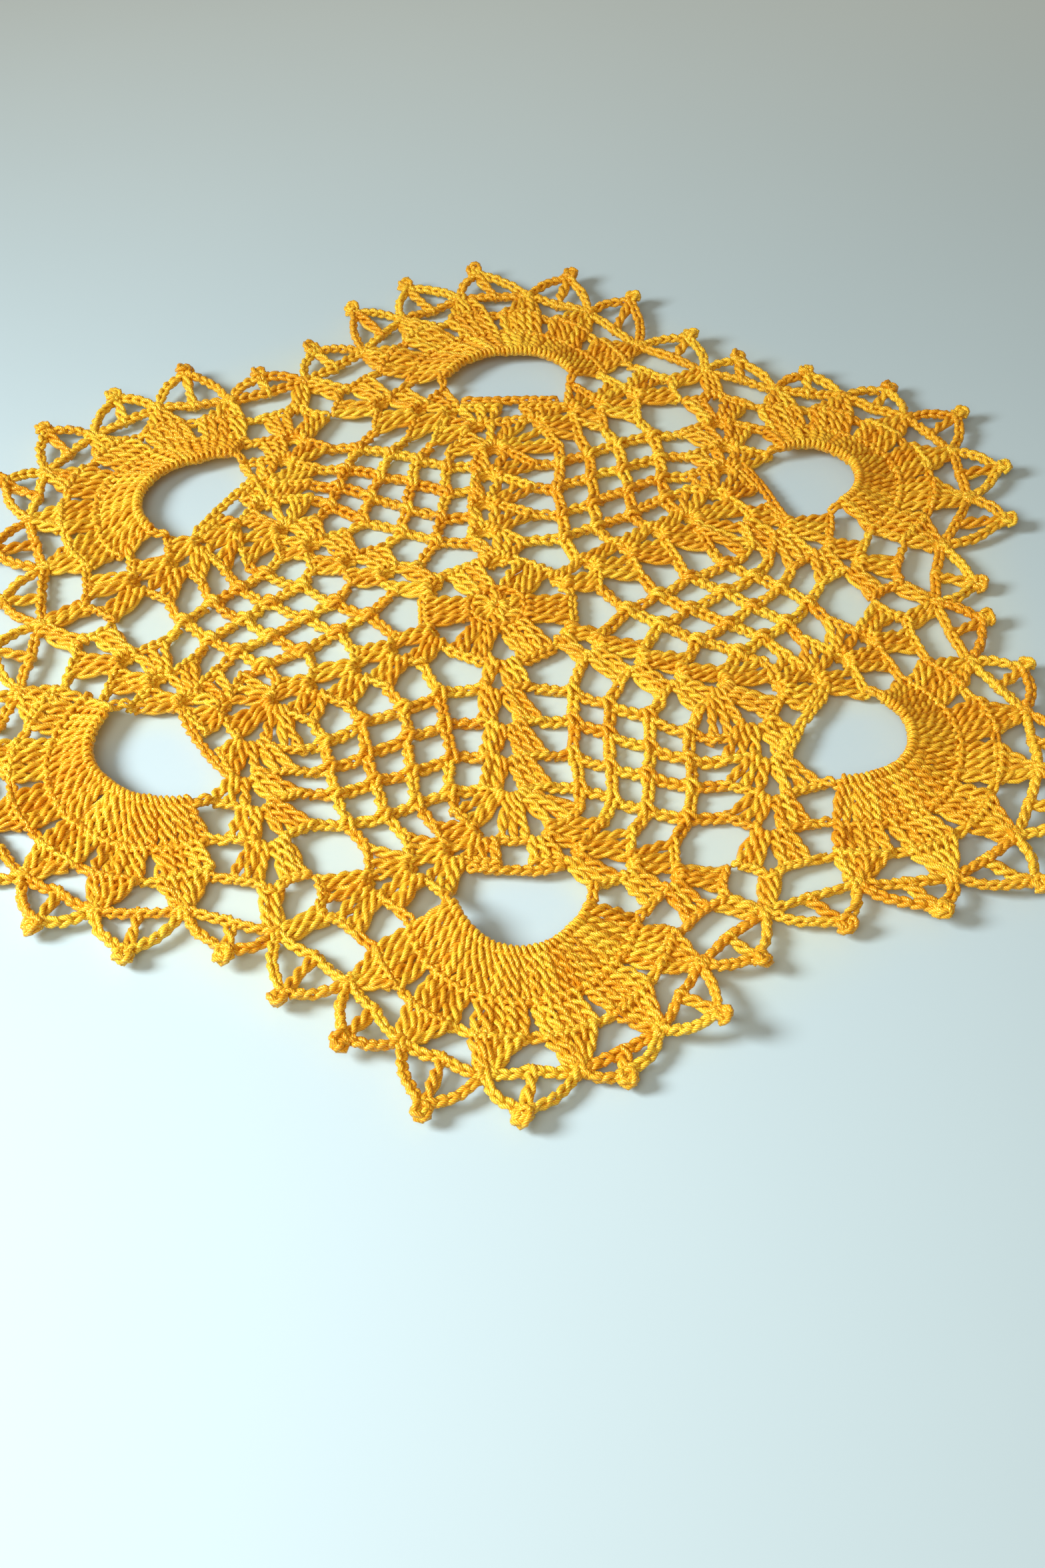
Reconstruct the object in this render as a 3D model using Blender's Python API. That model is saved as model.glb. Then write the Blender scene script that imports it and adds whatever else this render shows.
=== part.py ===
"""Round crocheted lace doily, worked in thirteen rounds of golden cotton.

The doily is one flat piece of lace: six shell spokes that fork at the seventh round,
six fans of loops between them, six half-round scallops and an edging of picot points.
Its gaps over 4 mm are cut through. The origin is the middle of the underside, +Z is up,
and -Y is the scallop nearest the viewer. Lengths are metres; the tables are millimetres.
"""
import math

import bpy

MM = 0.001

# Driving sizes
SHEET_THICKNESS = 1.8 * MM
CHAIN_WIDTH = 1.8 * MM
SCALLOP_COUNT = 6
FAN_COUNT = 6
SCALLOP_CENTRE = 64.7 * MM
PETAL_RADIUS = 31.0 * MM
EYE_RADIUS = 9.5 * MM
PICOT_WIDTH = 3.2 * MM
PICOT_LENGTH = 2.3 * MM
CHAIN_BULGE = 1.1 * MM
CORNER_CUT = 0.24
FOOT_SHARE = 0.2
SETTLE_REACH = 22.0 * MM

# Petal tips and picot points round a scallop: degrees either side of its own axis
PETAL_ANGLES = (-64.0, -38.4, -12.8, 12.8, 38.4, 64.0)
PETAL_GAP_ANGLES = (-51.2, -25.6, 0.0, 25.6, 51.2)

# Right-hand corners of the gap between two petals: (side, out), millimetres from the
# gap's own axis and from the scallop's centre
PETAL_GAP = ((1.0, 25.0), (4.9, 29.1))

# Points of half a fan, by name: (side, out), millimetres from the fan's axis and
# from the doily's centre. m is a loop's middle, e the end of a shell's group.
FAN_POINTS = {
    "arm": (3.4, 12.6),
    "e3": (5.9, 17.5), "e4": (8.6, 25.1), "e5": (12.2, 32.0), "e6": (15.5, 38.0),
    "e8": (12.5, 49.2), "e9": (9.4, 53.5), "e10": (5.0, 59.1), "e11": (0.5, 69.6),
    "m3": (0.0, 22.1), "m4": (3.6, 27.7), "m5": (0.0, 33.0), "m5b": (7.9, 33.7),
    "m6": (4.1, 39.6), "m6b": (11.2, 40.6), "m7": (0.0, 44.5), "m7b": (7.7, 45.5),
    "m8": (4.5, 50.6), "m9": (0.0, 55.8),
    "side10": (6.3, 64.0), "valley": (0.0, 79.9),
}

# Gaps of a fan, by the names of their corners. "-" is the mirrored point.
AXIS_GAPS = (
    ("-arm", "-e3", "m3", "e3", "arm"),
    ("m3", "-m4", "m5", "m4"),
    ("m5", "-m6", "m7", "m6"),
    ("m7", "-m8", "m9", "m8"),
    ("m9", "-e10", "-side10", "e11", "side10", "e10"),
)
SIDE_GAPS = (
    ("e3", "m3", "m4", "e4"),
    ("e4", "m4", "m5b", "e5"),
    ("e5", "m5b", "m6b", "e6"),
    ("m4", "m5", "m6", "m5b"),
    ("m5b", "m6", "m7b", "m6b"),
    ("m6", "m7", "m8", "m7b"),
    ("m7b", "m8", "e9", "e8"),
    ("m8", "m9", "e10", "e9"),
)

# Gaps between a fan's branch and the scallop beside it: (side, out) of the corners,
# millimetres, from the eye to the valley
BRANCH_GAPS = (
    ((16.3, 63.7), (17.1, 62.5), (20.4, 62.8), (21.8, 65.0), (19.5, 67.4), (17.1, 67.3)),
    ((13.1, 69.7), (15.9, 68.6), (18.1, 69.8), (17.0, 73.0), (14.2, 74.1), (12.7, 73.0)),
    ((7.2, 76.0), (12.4, 75.8), (14.9, 77.3), (14.4, 81.4), (9.4, 81.3), (5.2, 79.3)),
)

# Gaps on a scallop's own axis: (side, out) of the right-hand corners, millimetres
HUB_GAP = ((0.0, 5.4), (2.2, 6.3), (3.2, 9.6), (1.6, 12.4), (0.0, 12.8))
BRIDGE_GAP = ((1.8, 54.6), (5.0, 57.9), (0.0, 58.5))
EYE_SHOULDER = ((6.3, 59.9), (9.1, 62.4))

# The edging: where each point stands round its scallop, in degrees and from the
# scallop's centre, in millimetres
POINT_ANGLES = (-69.5, -49.0, -22.0, 0.0, 22.0, 49.0, 69.5)
POINT_RADII = (41.7, 38.1, 38.1, 38.5, 38.1, 38.1, 41.7)

# How each point of the edging lies: clockwise lean and reach, millimetres, by scallop
POINT_LEAN = (
    (0.0, 1.0, -3.3, -3.6, 1.5, -2.6, -1.9),
    (0.2, -0.6, 0.8, 3.4, 4.2, 0.4, 0.6),
    (-1.4, -1.0, -3.5, -0.8, 1.6, -1.2, 0.5),
    (-0.2, -1.2, -0.8, 1.7, 1.2, 0.3, -1.1),
    (-1.2, -3.4, 0.9, -1.1, -0.2, -2.3, -3.4),
    (-2.0, -2.3, -2.2, -1.3, 1.8, -1.6, 0.4),
)
POINT_REACH = (
    (-0.2, 2.5, 1.8, 0.0, 0.9, 1.8, -0.2),
    (-0.5, 0.6, -0.4, 0.7, -0.1, 1.8, -2.7),
    (-0.7, 0.8, -0.6, 0.4, -0.5, 0.6, -0.3),
    (0.2, 0.6, -3.4, -0.8, 1.2, -0.7, 0.5),
    (1.0, 0.0, 0.7, -0.4, 1.1, -0.6, -1.4),
    (0.0, -1.6, -1.5, 0.4, 0.4, 1.6, 0.8),
)

# How the lace lies off its even plan: (direction in degrees, radius, shift x, shift y),
# in millimetres
SETTLED = (
    (0, 0, -1.7, 0.8),
    (90, 66, 3.0, -0.8), (90, 95, -0.6, -0.3),
    (150, 66, 0.1, 1.0), (150, 95, -0.1, -0.5),
    (210, 66, -2.0, 1.7), (210, 95, 1.4, -2.8),
    (270, 66, 1.0, 0.1), (270, 95, 0.0, -0.6),
    (330, 66, -1.3, -0.4), (330, 95, 1.0, 0.1),
    (30, 66, 1.0, -2.2), (30, 95, -0.2, -0.7),
    (0, 80, -2.6, 1.4), (60, 80, 1.9, 0.9), (120, 80, 1.2, 0.7),
    (180, 80, -3.1, 0.8), (240, 80, 1.0, -0.5), (300, 80, -0.8, 1.6),
)


def scallop_axis(index):
    """Direction of a scallop's axis, in radians."""
    return math.radians(90 + 360 / SCALLOP_COUNT * index)


def fan_axis(index):
    """Direction of a fan's axis, midway between two scallops."""
    return math.radians(360 / FAN_COUNT * index)


def from_axis(side, out, axis):
    """Turn (side, out) into plan x and y. Side is clockwise of the axis."""
    x = out * math.cos(axis) + side * math.sin(axis)
    y = out * math.sin(axis) - side * math.cos(axis)
    return x, y


def round_scallop(angle, radius, axis):
    """A point at an angle and radius about a scallop's centre."""
    turn = math.radians(angle)
    return from_axis(radius * math.sin(turn), SCALLOP_CENTRE + radius * math.cos(turn), axis)


def fan_point(name, axis, side=1):
    """A named point of a fan, on its clockwise side or, with side -1, the other."""
    if name.startswith("-"):
        name = name[1:]
        side = -side
    across, out = FAN_POINTS[name]
    return from_axis(side * across * MM, out * MM, axis)


def settle(point):
    """Shift a point of the even plan to where the lace really lies."""
    x, y = point
    total = shift_x = shift_y = 0.0
    for direction, radius, move_x, move_y in SETTLED:
        turn = math.radians(direction)
        away = math.hypot(x - radius * MM * math.cos(turn), y - radius * MM * math.sin(turn))
        weight = math.exp(-((away / SETTLE_REACH) ** 2))
        total += weight
        shift_x += weight * move_x * MM
        shift_y += weight * move_y * MM
    return x + shift_x / total, y + shift_y / total


def area_of(points):
    """Signed area of a polygon, positive when it runs anticlockwise."""
    total = 0.0
    for (x0, y0), (x1, y1) in zip(points, points[1:] + points[:1]):
        total += x0 * y1 - x1 * y0
    return total / 2


def pulled_in(points, margin):
    """The polygon with every side moved inward by margin."""
    if area_of(points) < 0:
        points = points[::-1]
    sides = []
    for (x0, y0), (x1, y1) in zip(points, points[1:] + points[:1]):
        length = math.hypot(x1 - x0, y1 - y0)
        normal_x = -(y1 - y0) / length
        normal_y = (x1 - x0) / length
        sides.append((normal_x, normal_y, normal_x * x0 + normal_y * y0 + margin))
    corners = []
    for (a0, b0, c0), (a1, b1, c1) in zip(sides[-1:] + sides[:-1], sides):
        spread = a0 * b1 - a1 * b0
        corners.append(((c0 * b1 - c1 * b0) / spread, (a0 * c1 - a1 * c0) / spread))
    return corners


def rounded(points):
    """The polygon with each corner cut across."""
    cut = []
    for last, here, after in zip(points[-1:] + points[:-1], points, points[1:] + points[:1]):
        for other in (last, after):
            cut.append(tuple(h + (o - h) * CORNER_CUT for h, o in zip(here, other)))
    return cut


def mirrored(half):
    """Both sides of an outline given by its right-hand corners, in millimetres."""
    right = [(side * MM, out * MM) for side, out in half]
    left = [(-side, out) for side, out in reversed(right) if side > 0]
    return right + left


def fan_gaps(axis):
    """The gaps between a fan's loops, and those beside its two branches."""
    gaps = [[fan_point(name, axis) for name in names] for names in AXIS_GAPS]
    for side in (-1, 1):
        for names in SIDE_GAPS:
            gaps.append([fan_point(name, axis, side) for name in names])
    gaps = [rounded(pulled_in(gap, CHAIN_WIDTH / 2)) for gap in gaps]
    for side in (-1, 1):
        for corners in BRANCH_GAPS:
            gaps.append([from_axis(side * across * MM, out * MM, axis) for across, out in corners])
    return gaps


def eye_gap(axis):
    """The half-round eye that a scallop is worked over."""
    arc = [(EYE_RADIUS * math.sin(math.radians(angle)),
            SCALLOP_CENTRE + EYE_RADIUS * math.cos(math.radians(angle)))
           for angle in range(-80, 81, 16)]
    shoulder = [(side * MM, out * MM) for side, out in EYE_SHOULDER]
    outline = arc + shoulder[::-1] + [(-side, out) for side, out in shoulder]
    return [from_axis(side, out, axis) for side, out in outline]


def petal_gaps(axis):
    """The gaps between a scallop's petals, under the chain that joins their tips."""
    gaps = []
    for angle in PETAL_GAP_ANGLES:
        corners = []
        for side, out in mirrored(PETAL_GAP):
            turn = angle + math.degrees(math.atan2(side, out))
            corners.append(round_scallop(turn, math.hypot(side, out), axis))
        gaps.append(rounded(corners))
    return gaps


def spoke_gaps(axis):
    """The gaps on a scallop's own axis, from the centre out."""
    gaps = [[from_axis(side, out, axis) for side, out in mirrored(half)]
            for half in (HUB_GAP, BRIDGE_GAP)]
    return [rounded(gap) for gap in gaps] + [eye_gap(axis)]


def edging(index):
    """Each point of a scallop's edging, as (foot, next foot, picot), clockwise."""
    axis = scallop_axis(index)
    feet = [fan_point("valley", axis + math.pi / SCALLOP_COUNT)]
    feet += [round_scallop(angle, PETAL_RADIUS, axis) for angle in PETAL_ANGLES]
    feet.append(fan_point("valley", axis - math.pi / SCALLOP_COUNT))
    points = []
    for place, (angle, radius) in enumerate(zip(POINT_ANGLES, POINT_RADII)):
        reach = radius + POINT_REACH[index][place]
        lean = math.degrees(POINT_LEAN[index][place] / radius)
        picot = round_scallop(angle + lean, reach * MM, axis)
        points.append((feet[place], feet[place + 1], picot))
    return points


def between(start, end, share, bulge=0.0):
    """A point part of the way along a line, moved to its left by bulge."""
    length = math.hypot(end[0] - start[0], end[1] - start[1])
    across = ((start[1] - end[1]) / length, (end[0] - start[0]) / length)
    return tuple(s + (e - s) * share + a * bulge for s, e, a in zip(start, end, across))


def edging_gaps(index):
    """The two gaps inside each point of the edging, either side of its post."""
    gaps = []
    for foot, next_foot, picot in edging(index):
        post = between(foot, next_foot, 0.5)
        rising = between(foot, picot, 0.55, CHAIN_BULGE)
        falling = between(picot, next_foot, 0.45, CHAIN_BULGE)
        for corners in ((foot, rising, picot, post), (post, picot, falling, next_foot)):
            gaps.append(pulled_in(list(corners), CHAIN_WIDTH / 2))
    return gaps


def outline():
    """The doily's edge, clockwise round the picot points."""
    half = CHAIN_WIDTH / 2
    edge = []
    for index in range(SCALLOP_COUNT):
        for foot, next_foot, picot in edging(-index % SCALLOP_COUNT):
            middle = between(foot, next_foot, 0.5)
            length = math.dist(middle, picot)
            ahead = [(p - m) / length for m, p in zip(middle, picot)]
            beside = (ahead[1], -ahead[0])
            edge.append(between(foot, picot, FOOT_SHARE, half))
            edge.append(between(foot, picot, 0.55, CHAIN_BULGE + half))
            for side, reach in ((-0.5, 0.0), (-0.5, 0.6), (-0.2, 1.0), (0.25, 1.0), (0.5, 0.55),
                                (0.5, 0.0)):
                edge.append(tuple(p + b * side * PICOT_WIDTH + a * (reach * PICOT_LENGTH - half)
                                  for p, b, a in zip(picot, beside, ahead)))
            edge.append(between(picot, next_foot, 0.45, CHAIN_BULGE + half))
            edge.append(between(picot, next_foot, 1 - FOOT_SHARE, half))
    return edge


def cotton_material():
    """Golden mercerised cotton."""
    material = bpy.data.materials.new("golden_cotton")
    material.use_nodes = True
    shader = material.node_tree.nodes["Principled BSDF"]
    shader.inputs["Base Color"].default_value = (0.85, 0.42, 0.03, 1.0)
    shader.inputs["Roughness"].default_value = 0.6
    shader.inputs["Metallic"].default_value = 0.0
    return material


def add_doily():
    """One flat curve with the gaps as inner splines, lifted to stand on z = 0."""
    loops = [outline()]
    for index in range(FAN_COUNT):
        loops += fan_gaps(fan_axis(index))
    for index in range(SCALLOP_COUNT):
        loops += spoke_gaps(scallop_axis(index))
        loops += petal_gaps(scallop_axis(index))
        loops += edging_gaps(index)
    curve = bpy.data.curves.new("doily", "CURVE")
    curve.dimensions = "2D"
    curve.fill_mode = "BOTH"
    curve.extrude = SHEET_THICKNESS / 2
    curve.render_resolution_u = 0
    for loop in loops:
        spline = curve.splines.new("POLY")
        spline.points.add(len(loop) - 1)
        for point, place in zip(spline.points, loop):
            point.co = (*settle(place), 0.0, 1.0)
        spline.use_cyclic_u = True
    curve.materials.append(cotton_material())
    doily = bpy.data.objects.new("doily", curve)
    doily.location.z = SHEET_THICKNESS / 2
    collection = bpy.data.collections.new("doily")
    bpy.context.scene.collection.children.link(collection)
    collection.objects.link(doily)
    print("doily: an outline of", len(loops[0]), "points and", len(loops) - 1, "gaps")


for old in list(bpy.data.objects):
    bpy.data.objects.remove(old)
add_doily()
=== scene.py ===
import math

import bpy
import numpy as np
from mathutils import Matrix, Vector


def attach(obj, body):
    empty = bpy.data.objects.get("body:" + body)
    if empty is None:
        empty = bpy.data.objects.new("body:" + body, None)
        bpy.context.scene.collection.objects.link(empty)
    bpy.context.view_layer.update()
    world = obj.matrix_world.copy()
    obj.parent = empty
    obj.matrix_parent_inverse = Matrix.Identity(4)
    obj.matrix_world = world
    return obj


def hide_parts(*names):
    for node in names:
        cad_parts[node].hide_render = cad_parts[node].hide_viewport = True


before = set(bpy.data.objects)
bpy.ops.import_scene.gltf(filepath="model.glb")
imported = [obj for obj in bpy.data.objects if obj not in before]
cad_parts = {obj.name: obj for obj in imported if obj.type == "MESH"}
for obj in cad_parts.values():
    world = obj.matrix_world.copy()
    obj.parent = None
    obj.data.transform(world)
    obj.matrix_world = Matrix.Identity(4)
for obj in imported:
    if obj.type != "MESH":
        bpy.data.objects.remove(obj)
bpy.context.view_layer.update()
rng = np.random.default_rng(41)
mm = 0.001
print("frame loaded")

# Plan sizes are millimetres. Side is clockwise of an axis, out is away from the centre.
plan = {
    "repeats": 6,
    "scallopCentre": 64.7,
    "petalRadius": 31.0,
    "petalAngles": (-64, -38.4, -12.8, 12.8, 38.4, 64),  # degrees about a scallop's centre
    "height": 1.35,  # middle of the lace above the table
    "onTop": 0.55,  # from a mesh point to the foot of the loops worked into it
}
# named places of a fan, side and out: e on its edge, m in its mesh, with the round's number
fanPoints = {
    "e3": (5.9, 17.5), "e4": (8.6, 25.1), "e5": (12.2, 32.0), "e6": (15.5, 38.0),
    "e7": (13.7, 44.5), "e8": (12.5, 49.2), "e9": (9.4, 53.5), "e10": (5.0, 59.1),
    "e11": (0.9, 68.6),
    "m3": (0.0, 22.1), "m4": (3.6, 27.7), "m5": (0.0, 33.0), "m5b": (7.9, 33.7),
    "m6": (4.1, 39.6), "m6b": (11.2, 40.6), "m7": (0.0, 44.5), "m7b": (7.7, 45.5),
    "m8": (4.5, 50.6), "m9": (0.0, 55.8), "valley": (0.0, 79.9),
}
# How the lace lies off its even plan: direction in degrees, radius, shift x, shift y.
# The shifts and their reach were fitted by a program, not chosen by hand.
settled = np.array([
    (0, 0, -1.6, 2.0), (0, 36, -0.9, 0.4), (30, 36, -0.2, 1.4), (60, 36, 0.4, -0.1),
    (90, 36, 0.5, 1.1), (120, 36, -0.2, 0.6), (150, 36, -4.8, 2.8), (180, 36, -1.5, 1.5),
    (210, 36, -1.4, 1.5), (240, 36, -0.7, 0.4), (270, 36, 1.7, 1.3), (300, 36, -1.0, 0.4),
    (330, 36, -0.5, 0.9), (0, 66, -3.1, 1.8), (30, 66, 1.0, 0.2), (60, 66, 2.2, 0.5),
    (90, 66, 4.6, 0.5), (120, 66, 1.2, -2.7), (150, 66, 2.0, 1.9), (180, 66, -0.7, 1.0),
    (210, 66, -0.8, 1.7), (240, 66, 2.2, 2.7), (270, 66, 1.0, 1.4), (300, 66, 0.6, 1.4),
    (330, 66, 0.8, 0.9), (0, 90, -4.8, -1.0), (20, 90, 0.5, -0.2), (40, 90, 0.0, -2.7),
    (60, 90, 1.0, -4.5), (80, 90, -0.3, -0.6), (100, 90, -0.4, -1.3), (120, 90, 2.1, -0.6),
    (140, 90, 0.2, -0.9), (160, 90, -1.3, 0.9), (180, 90, -3.3, 0.9), (200, 90, -1.6, -2.6),
    (220, 90, 1.3, -1.6), (240, 90, 3.4, -0.2), (260, 90, 1.1, -0.3), (280, 90, 1.6, 0.4),
    (300, 90, -3.9, 3.5), (320, 90, 1.2, -1.1), (340, 90, 0.2, 0.8),
])
settleReach = 18.0


def unit(v):
    return v / np.linalg.norm(v)


def eitherWay(most):
    return rng.uniform(-most, most)


def circle(degrees):
    # points of a circle of radius 1
    turn = np.radians(degrees)
    return np.stack([np.cos(turn), np.sin(turn)], 1)


def scallopAxis(index):
    return math.radians(90 + 360 / plan["repeats"] * index)


def fanAxis(index):
    return math.radians(360 / plan["repeats"] * index)


def place(side, out, axis):
    return np.array([out * math.cos(axis) + side * math.sin(axis),
                     out * math.sin(axis) - side * math.cos(axis)])


def fanPoint(name, axis):
    # "-" is the point on the other side of the fan, "+" the stitch made on top of it
    side = -1 if name.startswith("-") else 1
    across, out = fanPoints[name.lstrip("-").rstrip("+")]
    at = place(side * across, out, axis)
    if name.endswith("+"):
        at = at + unit(at) * plan["onTop"]
    return at


def fanEdge(name, k, side):
    # a named point of the fan beside scallop k: the clockwise fan, or with side -1 the other
    if side > 0:
        return fanPoint("-" + name, fanAxis(k + 1))
    return fanPoint(name, fanAxis(k + 2))


eyeLie = {
    "angles": (-90, -45, 0, 45, 90),
    # how far each eye's rim stands out beyond its even circle at those angles
    "out": [(3.6, 0.9, -0.3, 1.5, 2.8), (3.4, 2.6, 1.7, 1.0, 3.6), (1.5, 0.2, 0.8, 3.6, 5.8),
            (0.4, -0.5, 0.2, 0.7, 1.5), (0.1, 0.2, -0.2, -0.5, 1.0), (0.1, 1.3, 0.9, 0.0, -0.9)],
    "full": 10.0,  # the radius up to which all of it counts
    "none": 31.0,  # and from which none does
}


def roundScallop(angle, radius, k):
    # a place by its angle and radius about the centre of scallop k
    turn = math.radians(angle)
    out = float(np.interp(angle, eyeLie["angles"], eyeLie["out"][k]))
    share = (eyeLie["none"] - radius) / (eyeLie["none"] - eyeLie["full"])
    radius += out * min(1.0, max(0.0, share))
    return place(radius * math.sin(turn), plan["scallopCentre"] + radius * math.cos(turn),
                 scallopAxis(k))


def petalFeet(k):
    return [roundScallop(a, plan["petalRadius"], k) for a in plan["petalAngles"]]


def settle(xy):
    # moves plan points to where the lace lies, a soft blend of the settled table
    homes = settled[:, 1:2] * circle(settled[:, 0])
    gap2 = ((xy[:, None, :] - homes[None]) ** 2).sum(2)
    weight = np.exp(-gap2 / settleReach ** 2) + 1e-12
    return xy + (weight @ settled[:, 2:4]) / weight.sum(1, keepdims=True)


def smoothLine(points, step=0.25):
    # a Catmull-Rom line through the points, at a nearly even step
    p = np.asarray(points, float)
    p = np.vstack([2 * p[0] - p[1], p, 2 * p[-1] - p[-2]])
    out = []
    for a, b, c, d in zip(p, p[1:], p[2:], p[3:]):
        count = max(2, int(np.linalg.norm(c - b) / step))
        t = np.linspace(0, 1, count, endpoint=False)[:, None]
        out.append(0.5 * (2 * b + (c - a) * t + (2 * a - 5 * b + 4 * c - d) * t ** 2
                          + (3 * b - a - 3 * c + d) * t ** 3))
    out.append(p[-2:-1])
    return np.vstack(out)


def smoothPlan(points, step=0.8):
    # a rounded line through plan points
    flat = np.c_[np.asarray(points, float), np.zeros(len(points))]
    return smoothLine(flat, step)[:, :2]


def alongLine(line, s, look=0.3):
    # points and directions at distances s along a dense line, running on past its ends
    gaps = np.linalg.norm(np.diff(line, axis=0), axis=1)
    reach = np.concatenate([[0], np.cumsum(gaps)])

    def pointAt(distance):
        held = np.clip(distance, 0, reach[-1])
        return np.stack([np.interp(held, reach, line[:, k]) for k in range(3)], 1)

    inside = np.clip(s, 0, reach[-1])
    way = pointAt(inside + look) - pointAt(inside - look)
    way /= np.linalg.norm(way, axis=1, keepdims=True)
    return pointAt(inside) + way * (s - inside)[:, None], way


def lineLength(line):
    return float(np.linalg.norm(np.diff(line, axis=0), axis=1).sum())


chainStitch = {
    "pitch": 1.8,
    "start": 0.15,  # how far before its own place a stitch begins, as a share of the pitch
    "roll": 70,  # a run is turned about its line by up to this, in degrees, unless told
    "sway": 25,  # and it sways by up to this from stitch to stitch
    "swayRate": (0.5, 1.0),
    "rollKnock": 10,
    "knock": 0.065,  # how unevenly the yarn lies
    # along (share of the pitch), across and up of the yarn through one stitch
    "yarn": np.array([
        (0.02, -0.12, -0.30), (0.16, -0.26, 0.22), (0.42, -0.42, 0.40), (0.74, -0.58, 0.26),
        (1.00, -0.58, -0.02), (1.16, -0.24, -0.24), (1.16, 0.24, -0.24), (1.00, 0.58, -0.02),
        (0.74, 0.58, 0.26), (0.42, 0.42, 0.40), (0.16, 0.26, 0.22), (0.04, 0.10, -0.40),
        (0.50, -0.04, -0.58),
    ]),
}


def chain(points, roll=None, pitch=None, lift=0.0, count=None, wide=1.0):
    # one strand: a run of chain stitches along the points, which are plan (x, y) or (x, y, z)
    points = np.asarray(points, float)
    if points.shape[1] == 2:
        points = np.c_[points, np.full(len(points), plan["height"] + lift)]
    line = smoothLine(points)
    length = lineLength(line)
    pitch = pitch or chainStitch["pitch"]
    count = count or max(1, round(length / pitch))
    pitch = length / count
    template = chainStitch["yarn"]
    step = np.repeat(np.arange(count), len(template))
    local = np.tile(template, (count, 1))
    at, way = alongLine(line, (step + local[:, 0] - chainStitch["start"]) * pitch)
    if roll is None:
        roll = eitherWay(chainStitch["roll"])
    sway = eitherWay(chainStitch["sway"]) * np.sin(step * rng.uniform(*chainStitch["swayRate"]))
    turn = np.radians(roll + sway + rng.normal(0, chainStitch["rollKnock"], count)[step])
    across = np.stack([-way[:, 1], way[:, 0], np.zeros(len(way))], 1)
    across /= np.linalg.norm(across, axis=1, keepdims=True)
    up = np.cross(way, across)
    b, c = local[:, 1] * wide, local[:, 2] * wide
    side = b * np.cos(turn) - c * np.sin(turn)
    rise = b * np.sin(turn) + c * np.cos(turn)
    yarn = at + across * side[:, None] + up * rise[:, None]
    return yarn + rng.normal(0, chainStitch["knock"], yarn.shape)


postStitch = {
    "rings": 13,  # yarn sections along each leg
    "legFrom": 0.03,  # where a leg starts above its foot, as a share of the stitch
    "spread": 0.50,  # half the distance between the two legs
    "spreadKnock": (0.85, 1.2),  # and how it varies from stitch to stitch
    "rise": 0.52,  # how far each leg passes above or below the other
    "hook": 0.80,  # the same where the yarn passes round the stitch below
    "hookFade": 0.1,
    "hookPast": 0.38,  # how far the yarn runs on past its foot there
    "turnEvery": 4.7,  # length of stitch for one turn of the two legs about each other
    "turnKnock": 0.07,
    "turnStart": 0.30,
    "footKnock": (-0.10, 0.12),  # how unevenly high the feet and the tops lie
    "topKnock": (-0.1, 0.15),
    "bend": 0.23,  # how far a stitch bows between foot and top
    "knock": 0.04,  # how unevenly the yarn lies
    "backSections": 5,
    "backFrom": 0.08,
    "backTo": 0.97,
    "backDepth": 0.42,  # the two strands of the wraps, behind the legs
    "backApart": 0.08,
    "backWidth": 0.70,
    "backTurns": 0.8,
}


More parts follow.
